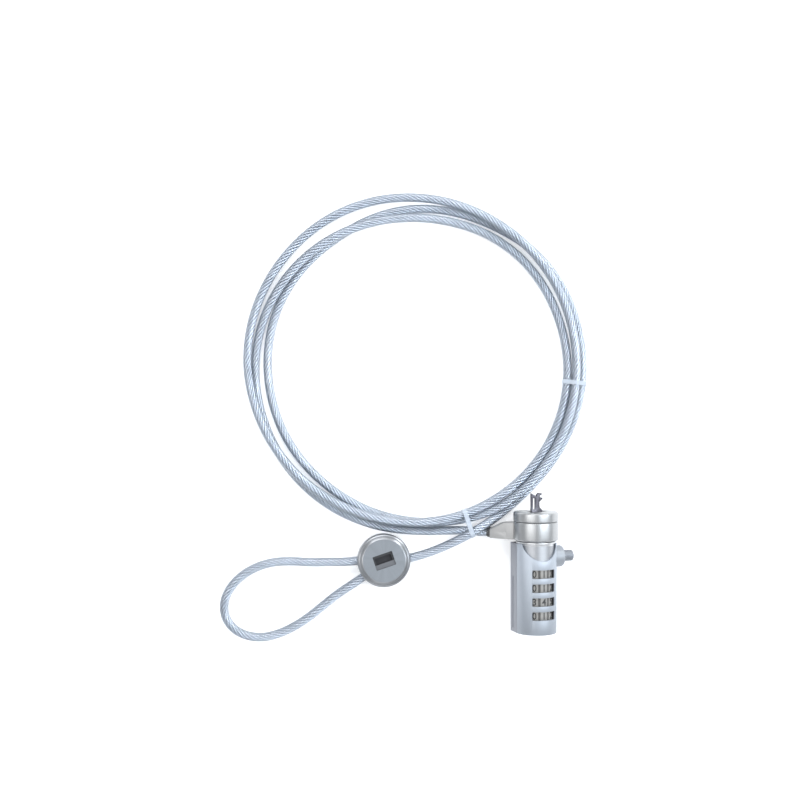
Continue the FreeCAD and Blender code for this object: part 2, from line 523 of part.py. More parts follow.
nodes["tie_1"] = tie(288.6, 77.3, 93.0, 9.9)
nodes["tie_2"] = tie(353.4, 75.6, 89.4, 9.7)

# ---------------------------------------------------------------- the round anchor on the cable
tilt_axis = V(-0.55, 0.83, 0)
tilt_axis.normalize()
anchor_lift = ANCHOR_R * math.sin(math.radians(ANCHOR_TILT))


def anchored(shape):
    s = shape.copy()
    s.rotate(V(0, 0, 0), tilt_axis, ANCHOR_TILT)
    s.translate(V(ANCHOR_CENTRE[0], ANCHOR_CENTRE[1], anchor_lift))
    return s


body = Part.Face(Part.makePolygon([V(0, 0, 0), V(ANCHOR_R - 1.0, 0, 0), V(ANCHOR_R, 0, 1.0), V(ANCHOR_R, 0, ANCHOR_BODY_H - 0.25),
                                   V(ANCHOR_R - 0.25, 0, ANCHOR_BODY_H), V(0, 0, ANCHOR_BODY_H), V(0, 0, 0)]))
body = anchored(body.revolve(V(0, 0, 0), V(0, 0, 1), 360))
cap_a = Part.Face(Part.makePolygon([V(0, 0, ANCHOR_BODY_H), V(ANCHOR_R - 0.25, 0, ANCHOR_BODY_H), V(ANCHOR_R, 0, ANCHOR_BODY_H + 0.25),
                                    V(ANCHOR_R, 0, 6.6), V(ANCHOR_R - 0.35, 0, 7.15), V(ANCHOR_R - ANCHOR_BEVEL, 0, ANCHOR_H),
                                    V(0, 0, ANCHOR_H), V(0, 0, ANCHOR_BODY_H)]))
cap_a = anchored(cap_a.revolve(V(0, 0, 0), V(0, 0, 1), 360))


def slot_box(lx, ly, z0, z1):
    s = Part.makeBox(lx, ly, z1 - z0, V(-lx / 2, -ly / 2, z0))
    s.rotate(V(0, 0, 0), V(0, 0, 1), SLOT_TURN)
    return anchored(s)


cap_a = cap_a.cut(slot_box(10.4, 7.2, ANCHOR_H - 1.1, ANCHOR_H + 1))
cap_a = cap_a.cut(slot_box(8.6, 3.3, 5.0, ANCHOR_H))
cap_a = cap_a.cut(slot_box(10.0, 8.0, 5.3, 6.2))
body = body.cut(slot_box(10.0, 8.0, 5.15, 6.0))


def channel(points, r):
    a, b = V(*points[0]), V(*points[1])
    return Part.makeCylinder(r, (b - a).Length, a, b - a)


# channels for the cable, a little wider than it is
clear = tube([tuple(p) for p in TAIL[4:]] , "tail channel", CABLE_D + 0.3)
body = body.cut(clear)
cap_a = cap_a.cut(clear)
clear_2 = tube([LOOP[0], LOOP[1], LOOP[2]], "loop channel start", CABLE_D + 0.3)
body = body.cut(clear_2)
cap_a = cap_a.cut(clear_2)
end_dir = V(*LOOP[-1]) - V(*LOOP[-2])
end_dir.normalize()
clear_3 = tube(LOOP[-4:], "loop channel end", CABLE_D + 0.3)
body = body.cut(clear_3)
cap_a = cap_a.cut(clear_3)
f0 = V(*LOOP[-1]) - end_dir * 2.2
f1 = V(*LOOP[-1]) + end_dir * 1.6
ferrule_a = Part.makeCylinder(2.75, (f1 - f0).Length, f0, f1 - f0)
body = body.cut(Part.makeCylinder(2.78, (f1 - f0).Length + 0.05, f0, f1 - f0))
cap_a = cap_a.cut(Part.makeCylinder(2.78, (f1 - f0).Length + 0.05, f0, f1 - f0))
ferrule_a = ferrule_a.cut(Part.makeCylinder(CABLE_R + 0.01, 2.2, f0, f1 - f0))
nodes["anchor_ferrule"] = ferrule_a
rivets = []
for au, av in ((-8.6, 7.4), (9.6, 6.2), (3.0, -10.4)):
    hole = anchored(Part.makeCylinder(0.9, 7.0, V(au, av, -0.1)))
    rv = anchored(Part.makeCylinder(0.9, 6.6, V(au, av, 0.0)))
    body = body.cut(hole)
    cap_a = cap_a.cut(rv)
    rivets.append(rv)
nodes["anchor_body"] = body
nodes["anchor_cap"] = cap_a
nodes["anchor_rivets"] = Part.makeCompound(rivets)

# ---------------------------------------------------------------- write the pieces
for name, shape in nodes.items():
    solids = shape.Solids
    b = shape.optimalBoundingBox(False)
    print("%-16s solids %d valid %s volume %.1f  x %.1f %.1f  y %.1f %.1f  z %.2f %.2f"
          % (name, len(solids), shape.isValid(), shape.Volume, b.XMin, b.XMax, b.YMin, b.YMax, b.ZMin, b.ZMax))
    shape.exportStep("parts/%s.step" % name)

lock = [n for n in nodes if not n.startswith(("cable_lead", "cable_coil", "cable_tail", "cable_loop", "anchor", "tie"))]
bb = FreeCAD.BoundBox()
for n in lock:
    bb.add(nodes[n].BoundBox)
print("lock box", bb)
full = FreeCAD.BoundBox()
for n in nodes:
    full.add(nodes[n].BoundBox)
print("whole box", full)
print(len(nodes), "nodes")
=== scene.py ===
import math

import bmesh
import bpy
from mathutils import Matrix, Vector


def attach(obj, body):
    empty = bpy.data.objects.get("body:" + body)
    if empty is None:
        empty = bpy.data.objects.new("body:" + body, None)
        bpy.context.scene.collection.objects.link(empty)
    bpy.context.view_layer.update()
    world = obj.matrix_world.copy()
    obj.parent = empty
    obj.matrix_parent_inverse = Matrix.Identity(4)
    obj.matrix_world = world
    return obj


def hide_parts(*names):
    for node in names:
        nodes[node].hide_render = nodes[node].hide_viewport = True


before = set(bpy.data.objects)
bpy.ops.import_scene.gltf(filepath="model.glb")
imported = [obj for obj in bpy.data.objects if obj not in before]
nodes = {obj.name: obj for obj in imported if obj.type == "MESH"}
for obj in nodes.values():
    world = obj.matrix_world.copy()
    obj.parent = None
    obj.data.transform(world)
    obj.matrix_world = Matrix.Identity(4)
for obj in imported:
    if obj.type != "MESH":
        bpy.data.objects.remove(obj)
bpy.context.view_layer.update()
MM = 0.001
rad = math.radians

# ------------------------------------------------------------------ frames, as in the CAD
AXIS = Vector((2.25, 0.0, 11.35))
ROLL = rad(20)
LOCK = Matrix.Scale(MM, 4) @ Matrix.Translation(AXIS) @ Matrix.Rotation(ROLL, 4, "Y")
RING = Matrix.Scale(MM, 4) @ Matrix.Translation(AXIS)
CD, SD = math.cos(rad(20)), math.sin(rad(20))
# outward along the stem, y, thickness
TILT_AXIS = Vector((-0.55, 0.83, 0)).normalized()
ANCHOR_AT = Vector((-75.28, -0.37, 13.6 * math.sin(rad(6))))
ANCHOR = Matrix.Scale(MM, 4) @ Matrix.Translation(ANCHOR_AT) @ Matrix.Rotation(rad(6), 4, TILT_AXIS)
# a lathe's own axis is Z; these turn it to the lock's axis and the push pin's axis
TO_Y = Matrix(((1, 0, 0, 0), (0, 0, 1, 0), (0, -1, 0, 0), (0, 0, 0, 1)))      # z -> y
TO_U = Matrix(((0, 0, 1, 0), (1, 0, 0, 2.3), (0, 1, 0, 0), (0, 0, 0, 1)))     # z -> u, at y = 2.3


# ------------------------------------------------------------------ camera
cam_data = bpy.data.cameras.new("camera")
cam = bpy.data.objects.new("camera", cam_data)
bpy.context.scene.collection.objects.link(cam)
cam.location = (-66.56 * MM, 81.9 * MM, 602.2 * MM)
cam.rotation_euler = (0, 0, 0)
cam_data.sensor_width = 36
cam_data.lens = 52.43
cam_data.clip_start, cam_data.clip_end = 0.01, 20
bpy.context.scene.camera = cam


# ------------------------------------------------------------------ node material helpers
def new_material(name):
    m = bpy.data.materials.new(name)
    m.use_nodes = True
    nt = m.node_tree
    nt.nodes.clear()
    out = nt.nodes.new("ShaderNodeOutputMaterial")
    p = nt.nodes.new("ShaderNodeBsdfPrincipled")
    nt.links.new(p.outputs[0], out.inputs[0])
    return m, nt, p


def add(nt, kind, **values):
    n = nt.nodes.new(kind)
    for k, v in values.items():
        if k in n.inputs:
            n.inputs[k].default_value = v
        else:
            setattr(n, k, v)
    return n


def link(nt, a, b):
    nt.links.new(a, b)


def mapped(nt, scale=(1, 1, 1), turn=(0, 0, 0), offset=(0, 0, 0)):
    """Object coordinates in metres, turned and stretched."""
    t = add(nt, "ShaderNodeTexCoord")
    m = add(nt, "ShaderNodeMapping")
    m.inputs["Location"].default_value = offset
    m.inputs["Rotation"].default_value = turn
    m.inputs["Scale"].default_value = scale
    link(nt, t.outputs["Object"], m.inputs["Vector"])
    return m.outputs[0]


def noise(nt, vec, scale, detail=3.0, rough=0.5):
    n = add(nt, "ShaderNodeTexNoise")
    n.inputs["Scale"].default_value = scale
    n.inputs["Detail"].default_value = detail
    n.inputs["Roughness"].default_value = rough
    if vec is not None:
        link(nt, vec, n.inputs["Vector"])
    return n.outputs["Fac"]


def ramp(nt, fac, stops):
    r = add(nt, "ShaderNodeValToRGB")
    e = r.color_ramp.elements
    while len(e) > 1:
        e.remove(e[-1])
    e[0].position, e[0].color = stops[0][0], stops[0][1]
    for pos, col in stops[1:]:
        x = e.new(pos)
        x.color = col
    link(nt, fac, r.inputs["Fac"])
    return r.outputs["Color"]


def span(nt, fac, lo, hi, a=0.0, b=1.0):
    r = add(nt, "ShaderNodeMapRange")
    r.inputs["From Min"].default_value, r.inputs["From Max"].default_value = a, b
    r.inputs["To Min"].default_value, r.inputs["To Max"].default_value = lo, hi
    link(nt, fac, r.inputs["Value"])
    return r.outputs["Result"]


def math_node(nt, op, a, b=None):
    n = add(nt, "ShaderNodeMath", operation=op)
    for i, v in enumerate((a, b)):
        if v is None:
            continue
        if isinstance(v, (int, float)):
            n.inputs[i].default_value = v
        else:
            link(nt, v, n.inputs[i])
    return n.outputs[0]


def bump(nt, p, height, strength, distance, previous=None):
    b = add(nt, "ShaderNodeBump")
    b.inputs["Strength"].default_value = strength
    b.inputs["Distance"].default_value = distance
    link(nt, height, b.inputs["Height"])
    if previous is not None:
        link(nt, previous, b.inputs["Normal"])
    link(nt, b.outputs[0], p.inputs["Normal"])
    return b.outputs[0]


def grey(v, tint=(1, 1, 1)):
    return (v * tint[0], v * tint[1], v * tint[2], 1)


def metal(name, dark, light, rough, grain=2500.0, grain_bump=0.15, lines=None, tint=(1, 1, 1), rough_spread=0.06,
          blotch=60.0, line_bump=0.25, anisotropic=0.0, metallic=1.0, painted_shade_gradient=None):
    """A metal with broad colour variation, fine grain, and lines turned or brushed along one direction; when a gradient
    is given, painted shade: the colour is scaled along Y.
    """
    m, nt, p = new_material(name)
    p.inputs["Metallic"].default_value = metallic
    p.inputs["Anisotropic"].default_value = anisotropic
    broad = noise(nt, mapped(nt), blotch, 4, 0.55)
    fine = noise(nt, mapped(nt), grain, 2, 0.6)
    if lines is not None:
        streak = noise(nt, mapped(nt, scale=lines), 1.0, 4, 0.65)
    else:
        streak = fine
    both = math_node(nt, "MULTIPLY_ADD", streak, 0.5)
    both_node = both.node
    link(nt, math_node(nt, "MULTIPLY", broad, 0.5), both_node.inputs[2])
    colour = ramp(nt, both, [(0.32, grey(dark, tint)), (0.68, grey(light, tint))])
    # Painted shade: when a gradient is given, the colour is scaled along Y, darker towards the bottom and lighter
    # towards the top, as light falling from above would make it.
    if painted_shade_gradient is not None:
        place = add(nt, "ShaderNodeSeparateXYZ")
        link(nt, add(nt, "ShaderNodeTexCoord").outputs["Object"], place.inputs[0])
        scaled = add(nt, "ShaderNodeVectorMath", operation="SCALE")
        link(nt, colour, scaled.inputs[0])
        link(nt, span(nt, place.outputs["Y"], painted_shade_gradient[2], painted_shade_gradient[3], painted_shade_gradient[0], painted_shade_gradient[1]), scaled.inputs["Scale"])
        colour = scaled.outputs["Vector"]
    link(nt, colour, p.inputs["Base Color"])
    mixed = math_node(nt, "MULTIPLY_ADD", streak, 0.6)
    link(nt, math_node(nt, "MULTIPLY", fine, 0.4), mixed.node.inputs[2])
    link(nt, span(nt, mixed, rough - rough_spread, rough + rough_spread, 0.3, 0.7), p.inputs["Roughness"])
    last = bump(nt, p, fine, grain_bump, 0.00002)
    if lines is not None:
        bump(nt, p, streak, line_bump, 0.00002, last)
    return m


NICKEL = metal("turned_nickel", 0.39, 0.47, 0.34, lines=(40, 4200, 40), tint=(0.975, 0.99, 1.0), line_bump=0.12, grain_bump=0.10,
               metallic=0.95)
# Painted highlight: the core's collar is the same turned nickel, coloured much lighter (0.62-0.70 against 0.39-0.47) to
# stand in for the bright band of light on it.
COLLAR_PAINTED_HIGHLIGHT = metal("collar_painted_highlight", 0.62, 0.70, 0.30, lines=(40, 4200, 40), tint=(0.985, 0.99, 1.0), line_bump=0.1, grain_bump=0.08,
               metallic=0.85)
CORE = metal("core_metal", 0.39, 0.46, 0.42, lines=(40, 4200, 40), tint=(0.96, 0.985, 1.03), line_bump=0.12, grain_bump=0.10,
             metallic=0.9)
NICKEL_PLAIN = metal("satin_nickel", 0.40, 0.47, 0.50, lines=(900, 3000, 900), tint=(0.99, 0.985, 0.975), line_bump=0.12,
                     metallic=0.6)
KNURL = metal("knurled_steel", 0.22, 0.31, 0.40, grain=3600, tint=(0.92, 0.98, 1.08), metallic=0.85)
# Painted shade: the front cover's colour is scaled from 0.74 at its bottom end to 1.14 at its top, standing in for
# light from above.
SILVER = metal("silver_body", 0.42, 0.47, 0.50, grain=5200, grain_bump=0.22, blotch=70, tint=(0.91, 0.99, 1.10), rough_spread=0.05,
               metallic=0.5, painted_shade_gradient=(-0.0356, 0.0096, 0.74, 1.14))
# Partly the rear shell's own darker paint and partly painted shade: its flank facing away from the lamps is coloured
# darker than the front cover.
SILVER_BACK_TONE_AND_SHADE = metal("silver_shell_tone_and_shade", 0.28, 0.32, 0.52, grain=5200, grain_bump=0.22, blotch=70, tint=(0.95, 0.985, 1.09),
                    rough_spread=0.05, metallic=0.5)
BOSS = metal("boss_metal", 0.33, 0.38, 0.50, grain=5200, grain_bump=0.22, blotch=70, tint=(0.93, 0.99, 1.08), rough_spread=0.05,
             metallic=0.5)
STEEL = metal("tool_steel", 0.08, 0.14, 0.38, lines=(3800, 260, 3800), tint=(0.98, 0.95, 1.08), line_bump=0.2)
DIAL = metal("dial_metal", 0.26, 0.33, 0.50, lines=(60, 4200, 60), tint=(1.03, 1.0, 0.95), line_bump=0.12, blotch=200, metallic=0.35)
# Painted shade: the notches between digits are coloured much darker than the dial, standing in for the shade in the
# grooves.
GROOVE_PAINTED_SHADE = metal("dial_groove", 0.10, 0.15, 0.6, tint=(1.03, 1.0, 0.97), metallic=0.3)
SPACER = metal("spacer_metal", 0.10, 0.16, 0.45)
ZINC = metal("anchor_metal", 0.30, 0.37, 0.33, grain=3600, grain_bump=0.06, tint=(0.955, 0.985, 1.03), blotch=120, metallic=1.0)
# Painted shade: the disc's recess is coloured near black, far darker than the disc, for the shade inside it; its lower
# ledge is a less dark grey.
RECESS_PAINTED_SHADE = metal("recess_painted_shade", 0.045, 0.08, 0.50, grain=3600, grain_bump=0.2, tint=(0.97, 0.98, 1.04), metallic=0.6)
LEDGE_PAINTED_SHADE = metal("ledge_painted_shade", 0.14, 0.19, 0.48, grain=3600, grain_bump=0.2, tint=(0.95, 0.98, 1.05), metallic=0.7)
# Painted shadow: the slot's faces are coloured almost black, standing in for the shadow inside the slot.
SLOT_PAINTED_SHADOW = metal("slot_painted_shadow", 0.012, 0.028, 0.65, grain=3600, tint=(0.92, 0.95, 1.15), metallic=0.0)


def anchor_face_material():
    """The disc's turned face: fine rings about its own centre, and painted sheen: colour that changes slowly with
    angle, as radial highlight streaks.
    """
    m, nt, p = new_material("anchor_face_metal")
    p.inputs["Metallic"].default_value = 0.7
    p.inputs["Anisotropic"].default_value = 0.0
    t = add(nt, "ShaderNodeTexCoord")
    shift = add(nt, "ShaderNodeVectorMath", operation="SUBTRACT")
    centre = ANCHOR @ Vector((0, 0, 8.6))
    shift.inputs[1].default_value = centre
    link(nt, t.outputs["Object"], shift.inputs[0])
    length = add(nt, "ShaderNodeVectorMath", operation="LENGTH")
    link(nt, shift.outputs[0], length.inputs[0])
    rings = noise_1d(nt, math_node(nt, "MULTIPLY", length.outputs["Value"], 5200.0))
    sep = add(nt, "ShaderNodeSeparateXYZ")
    link(nt, shift.outputs[0], sep.inputs[0])
    angle = math_node(nt, "ARCTAN2", sep.outputs["Y"], sep.outputs["X"])
    # Painted sheen: the colour changes slowly with angle round the centre, standing in for the radial highlight streaks
    # of a turned face.
    painted_radial_sheen = noise_1d(nt, math_node(nt, "MULTIPLY", angle, 2.4))
    link(nt, ramp(nt, painted_radial_sheen, [(0.30, grey(0.245, (0.92, 0.99, 1.07))), (0.70, grey(0.272, (0.92, 0.99, 1.07)))]), p.inputs["Base Color"])
    link(nt, span(nt, rings, 0.40, 0.48, 0.3, 0.7), p.inputs["Roughness"])
    bump(nt, p, rings, 0.12, 0.00002)
    return m


def noise_1d(nt, value):
    n = add(nt, "ShaderNodeTexNoise")
    n.noise_dimensions = "1D"
    n.inputs["Scale"].default_value = 1.0
    n.inputs["Detail"].default_value = 3.0
    link(nt, value, n.inputs["W"])
    return n.outputs["Fac"]


def rope_material(total_mm):
    """Galvanised wire: six fine wires laid round each strand, drawn from the strand's own u and v; the colour is darker
    in the grooves between wires as painted shade.
    """
    m, nt, p = new_material("rope_steel")
    p.inputs["Metallic"].default_value = 1.0
    uv = add(nt, "ShaderNodeUVMap", uv_map="lay")
    sep = add(nt, "ShaderNodeSeparateXYZ")
    link(nt, uv.outputs[0], sep.inputs[0])
    u6 = math_node(nt, "MULTIPLY", sep.outputs["X"], 6.0)
    v = math_node(nt, "MULTIPLY", sep.outputs["Y"], total_mm / 1.35)
    phase = math_node(nt, "MULTIPLY", math_node(nt, "SUBTRACT", u6, v), 2 * math.pi)
    wires = math_node(nt, "ABSOLUTE", math_node(nt, "SINE", math_node(nt, "MULTIPLY", phase, 0.5)))
    broad = noise(nt, mapped(nt), 180, 3, 0.6)
    fine = noise(nt, mapped(nt), 4200, 2, 0.6)
    # Painted shade: the colour darkens in the grooves between wires; the broad noise mixed in is random tone.
    wire_crease_shade_and_mottle = math_node(nt, "MULTIPLY_ADD", wires, 0.55)
    link(nt, math_node(nt, "MULTIPLY", broad, 0.45), wire_crease_shade_and_mottle.node.inputs[2])
    link(nt, ramp(nt, wire_crease_shade_and_mottle, [(0.15, grey(0.28, (0.92, 0.98, 1.08))), (0.7, grey(0.63, (0.94, 0.99, 1.06)))]), p.inputs["Base Color"])
    link(nt, span(nt, fine, 0.26, 0.42, 0.3, 0.7), p.inputs["Roughness"])
    bump(nt, p, wires, 0.7, 0.00008)
    return m


def jacket_material():
    """Clear, faintly blue vinyl. Lamps reach the rope through it."""
    m = bpy.data.materials.new("clear_vinyl")
    m.use_nodes = True
    nt = m.node_tree
    nt.nodes.clear()
    out = add(nt, "ShaderNodeOutputMaterial")
    p = add(nt, "ShaderNodeBsdfPrincipled")
    p.inputs["Base Color"].default_value = (0.90, 0.945, 1.0, 1)
    p.inputs["Transmission Weight"].default_value = 1.0
    p.inputs["IOR"].default_value = 1.46
    r = noise(nt, mapped(nt), 900, 3, 0.6)
    link(nt, span(nt, r, 0.05, 0.13, 0.3, 0.7), p.inputs["Roughness"])
    bump(nt, p, noise(nt, mapped(nt), 420, 2, 0.5), 0.10, 0.0002)
    clear = add(nt, "ShaderNodeBsdfTransparent")
    clear.inputs["Color"].default_value = (0.93, 0.96, 1.0, 1)
    path = add(nt, "ShaderNodeLightPath")
    mix = add(nt, "ShaderNodeMixShader")
    link(nt, path.outputs["Is Shadow Ray"], mix.inputs["Fac"])
    link(nt, p.outputs[0], mix.inputs[1])
    link(nt, clear.outputs[0], mix.inputs[2])
    link(nt, mix.outputs[0], out.inputs[0])
    return m


# Partly a rubber bush and partly painted shadow: the bush at the stem's end is near black, standing in for the dark gap
# between cable and stem.
def rubber_and_gap_shade_material():
    m, nt, p = new_material("black_bush")
    n = noise(nt, mapped(nt), 1500, 3)
    link(nt, ramp(nt, n, [(0.3, grey(0.035)), (0.7, grey(0.075))]), p.inputs["Base Color"])
    link(nt, span(nt, n, 0.45, 0.7, 0.3, 0.7), p.inputs["Roughness"])
    bump(nt, p, n, 0.25, 0.00005)
    return m


def tie_material():
    m, nt, p = new_material("clear_tie")
    n = noise(nt, mapped(nt), 700, 3)
    link(nt, ramp(nt, n, [(0.3, (0.60, 0.67, 0.77, 1)), (0.7, (0.69, 0.75, 0.82, 1))]), p.inputs["Base Color"])
    p.inputs["Alpha"].default_value = 0.52
    p.inputs["IOR"].default_value = 1.5
    link(nt, span(nt, n, 0.22, 0.40, 0.3, 0.7), p.inputs["Roughness"])
    bump(nt, p, n, 0.15, 0.00005)
    return m


def ink_material():
    m, nt, p = new_material("digit_ink")
    n = noise(nt, mapped(nt), 2500, 3)
    link(nt, ramp(nt, n, [(0.3, grey(0.018)), (0.7, grey(0.05))]), p.inputs["Base Color"])
    link(nt, span(nt, n, 0.4, 0.6, 0.3, 0.7), p.inputs["Roughness"])
    return m


def floor_material():
    m, nt, p = new_material("floor_paper")
    n = noise(nt, mapped(nt), 6, 2)
    link(nt, ramp(nt, n, [(0.3, grey(0.86)), (0.7, grey(0.88))]), p.inputs["Base Color"])
    p.inputs["Roughness"].default_value = 0.9
    p.inputs["Specular IOR Level"].default_value = 0.1
    p.inputs["Emission Color"].default_value = (0.97, 0.985, 1.0, 1)
    p.inputs["Emission Strength"].default_value = 0.34
    return m


# ------------------------------------------------------------------ mesh helpers
def obj_from(bm, name, matrix, material, body, replaces=(), sharp=32):
    bm.transform(matrix)
    bmesh.ops.recalc_face_normals(bm, faces=bm.faces)
    me = bpy.data.meshes.new(name)
    bm.to_mesh(me)
    bm.free()
    me.shade_smooth()
    me.set_sharp_from_angle(angle=rad(sharp))
    if material is not None:
        for mat in (material if isinstance(material, (list, tuple)) else [material]):
            me.materials.append(mat)
    o = bpy.data.objects.new(name, me)
    bpy.context.scene.collection.objects.link(o)
    if body:
        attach(o, body)
    if replaces:
        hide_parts(*replaces)
    return o


def eased(points, radii, steps=4):
    """A closed 2-D outline with its corners rounded; radii has one number per point."""
    out = []
    n = len(points)
    for i, (p, r) in enumerate(zip(points, radii)):
        p = Vector(p)
        if r <= 0:
            out.append(p)
            continue
        a, b = Vector(points[i - 1]) - p, Vector(points[(i + 1) % n]) - p
        r = min(r, 0.45 * a.length, 0.45 * b.length)
        a.normalize()
        b.normalize()
        s, e = p + a * r, p + b * r
        for k in range(steps + 1):
            t = k / steps
            out.append(s * (1 - t) ** 2 + p * 2 * t * (1 - t) + e * t * t)
    return out


def lathe(profile, segs=96, closed=True):
    """Turns an outline of (radius, height) about Z. Points at radius 0 share one vertex."""
    bm = bmesh.new()
    rings = []
    for r, z in profile:
        if r < 1e-6:
            rings.append([bm.verts.new((0, 0, z))])
        else:
            rings.append([bm.verts.new((r * math.cos(2 * math.pi * k / segs), r * math.sin(2 * math.pi * k / segs), z)) for k in range(segs)])
    pairs = list(zip(rings, rings[1:]))
    if closed:
        pairs.append((rings[-1], rings[0]))
    for a, b in pairs:
        if len(a) == 1 and len(b) == 1:
            continue
        for k in range(segs):
            k2 = (k + 1) % segs
            if len(a) == 1:
                bm.faces.new((a[0], b[k2], b[k]))
            elif len(b) == 1:
                bm.faces.new((a[k], a[k2], b[0]))
            else:
                bm.faces.new((a[k], a[k2], b[k2], b[k]))
    bmesh.ops.recalc_face_normals(bm, faces=bm.faces)
    return bm


def prism(outline, z0, z1):
    """A 2-D outline (x, y) pushed from z0 to z1."""
    bm = bmesh.new()
    lo = [bm.verts.new((p[0], p[1], z0)) for p in outline]
    hi = [bm.verts.new((p[0], p[1], z1)) for p in outline]
    bm.faces.new(lo)
    bm.faces.new(hi)
    n = len(lo)
    for i in range(n):
        bm.faces.new((lo[i], lo[(i + 1) % n], hi[(i + 1) % n], hi[i]))
    bmesh.ops.recalc_face_normals(bm, faces=bm.faces)
    return bm


def temp(bm, matrix=None):
    if matrix is not None:
        bm.transform(matrix)
        bmesh.ops.recalc_face_normals(bm, faces=bm.faces)
    me = bpy.data.meshes.new("temp")
    bm.to_mesh(me)
    bm.free()
    o = bpy.data.objects.new("temp", me)
    bpy.context.scene.collection.objects.link(o)
    return o


def applied(o):
    """o's mesh with its modifiers, as a bmesh; o and the cutters go."""
    bpy.context.view_layer.update()
    dg = bpy.context.evaluated_depsgraph_get()
    me = bpy.data.meshes.new_from_object(o.evaluated_get(dg))
    bm = bmesh.new()
    bm.from_mesh(me)
    bpy.data.meshes.remove(me)
    bpy.data.objects.remove(o)
    return bm


def cut(bm, cutters, op="DIFFERENCE"):
    o = temp(bm)
    tools = []
    for c in cutters:
        t = temp(c)
        m = o.modifiers.new("cut", "BOOLEAN")
        m.operation, m.solver, m.object = op, "EXACT", t
        tools.append(t)
    out = applied(o)
    for t in tools:
        bpy.data.objects.remove(t)
    return out


def bevelled(bm, width, segments=2, angle=35, clean=0.02):
    """Rounds edges sharper than angle."""
    bmesh.ops.remove_doubles(bm, verts=bm.verts, dist=clean * 0.2)
    bmesh.ops.dissolve_limit(bm, angle_limit=rad(0.4), verts=bm.verts, edges=bm.edges)
    o = temp(bm)
    m = o.modifiers.new("bevel", "BEVEL")
    m.width, m.segments, m.limit_method, m.angle_limit = width, segments, "ANGLE", rad(angle)
    m.use_clamp_overlap = True
    m.harden_normals = False
    return applied(o)


def from_node(name, scale_back=True):
    """A copy of a CAD node's mesh in millimetres, welded, with its flat faces whole."""
    bm = bmesh.new()
    bm.from_mesh(nodes[name].data)
    bm.transform(Matrix.Scale(1000, 4))
    bmesh.ops.remove_doubles(bm, verts=bm.verts, dist=0.001)
    bmesh.ops.dissolve_limit(bm, angle_limit=rad(0.3), verts=bm.verts, edges=bm.edges)
    return bm


def rounded_rect(x0, x1, y0, y1, r, steps=4):
    return eased([(x0, y0), (x1, y0), (x1, y1), (x0, y1)], [r] * 4, steps)


def move(bm, matrix):
    bm.transform(matrix)
    bmesh.ops.recalc_face_normals(bm, faces=bm.faces)
    return bm


def cylinder(r, z0, z1, segs=64):
    return prism([(r * math.cos(2 * math.pi * k / segs), r * math.sin(2 * math.pi * k / segs)) for k in range(segs)], z0, z1)


# ------------------------------------------------------------------ the cable's line
# the same route points as the CAD's lead, tail and loop; the coil's three turns are more points of the same line
LEAD = [(-14.10, 14.05, 5.40), (-22.09, 14.05, 2.49), (-29.56, 14.31, 2.50)]
COIL = [
    (-35.96, 15.06, 2.62), (-58.84, 14.11, 2.25), (-81.12, 17.26, 2.25), (-101.76, 26.09, 2.25), (-119.07, 40.20, 2.25),
    (-131.97, 58.21, 2.25), (-139.66, 78.77, 2.25), (-141.78, 100.45, 2.47), (-137.95, 121.64, 3.60), (-128.49, 140.62, 5.11),
    (-114.64, 156.05, 6.29), (-97.55, 167.19, 6.92), (-78.58, 173.82, 6.08), (-58.84, 175.84, 4.53), (-39.22, 173.63, 3.37),
    (-20.35, 167.10, 2.61), (-3.89, 155.38, 2.25), (8.63, 139.39, 2.25), (16.72, 120.68, 2.25), (20.32, 100.44, 2.62),
    (18.32, 79.76, 2.93), (10.88, 60.19, 3.64), (-1.63, 43.24, 4.77), (-18.29, 30.23, 6.41), (-37.87, 21.63, 7.24),
    (-58.90, 18.65, 6.85), (-80.08, 21.23, 6.44), (-100.05, 29.03, 6.27), (-117.85, 41.34, 6.50), (-131.74, 58.24, 6.82),
    (-141.16, 78.28, 6.60), (-145.52, 100.36, 5.40), (-143.03, 122.98, 4.09), (-134.49, 144.12, 3.20), (-120.79, 162.40, 2.73),
    (-102.70, 176.41, 2.69), (-81.41, 184.67, 3.08), (-58.84, 186.55, 3.90), (-36.81, 182.63, 5.13), (-16.87, 173.12, 6.63),
    (0.36, 159.56, 6.78), (13.42, 142.05, 5.99), (21.58, 121.88, 5.56), (24.56, 100.32, 5.50), (22.14, 78.60, 5.66),
    (14.30, 58.03, 6.02), (1.26, 40.15, 6.56), (-16.02, 25.87, 5.57), (-37.08, 19.39, 2.98), (-58.83, 18.74, 2.25),
    (-79.56, 23.08, 2.25), (-98.00, 32.61, 2.25), (-113.56, 45.72, 2.25), (-125.50, 61.95, 2.25), (-132.78, 80.62, 2.25),
    (-135.29, 100.44, 2.25), (-132.98, 120.31, 2.25), (-125.41, 138.87, 2.25), (-112.96, 154.59, 2.25), (-97.27, 167.06, 2.25),
    (-79.25, 176.64, 2.25), (-58.84, 180.94, 2.25), (-37.77, 179.04, 2.25), (-17.72, 171.64, 2.25), (1.18, 160.44, 2.25),
    (15.65, 143.44, 2.25), (24.65, 122.81, 2.25), (28.04, 100.44, 2.62), (25.48, 77.85, 2.62), (16.57, 56.91, 2.25),
    (2.78, 38.81, 2.25)]
TAIL = [(-14.33, 23.48, 2.62), (-20.96, 19.27, 4.87), (-28.00, 15.15, 7.21), (-35.96, 10.64, 6.47), (-45.52, 6.03, 4.98),
        (-55.36, 2.25, 3.87), (-65.36, -0.20, 3.15), (-75.96, -0.20, 4.15)]
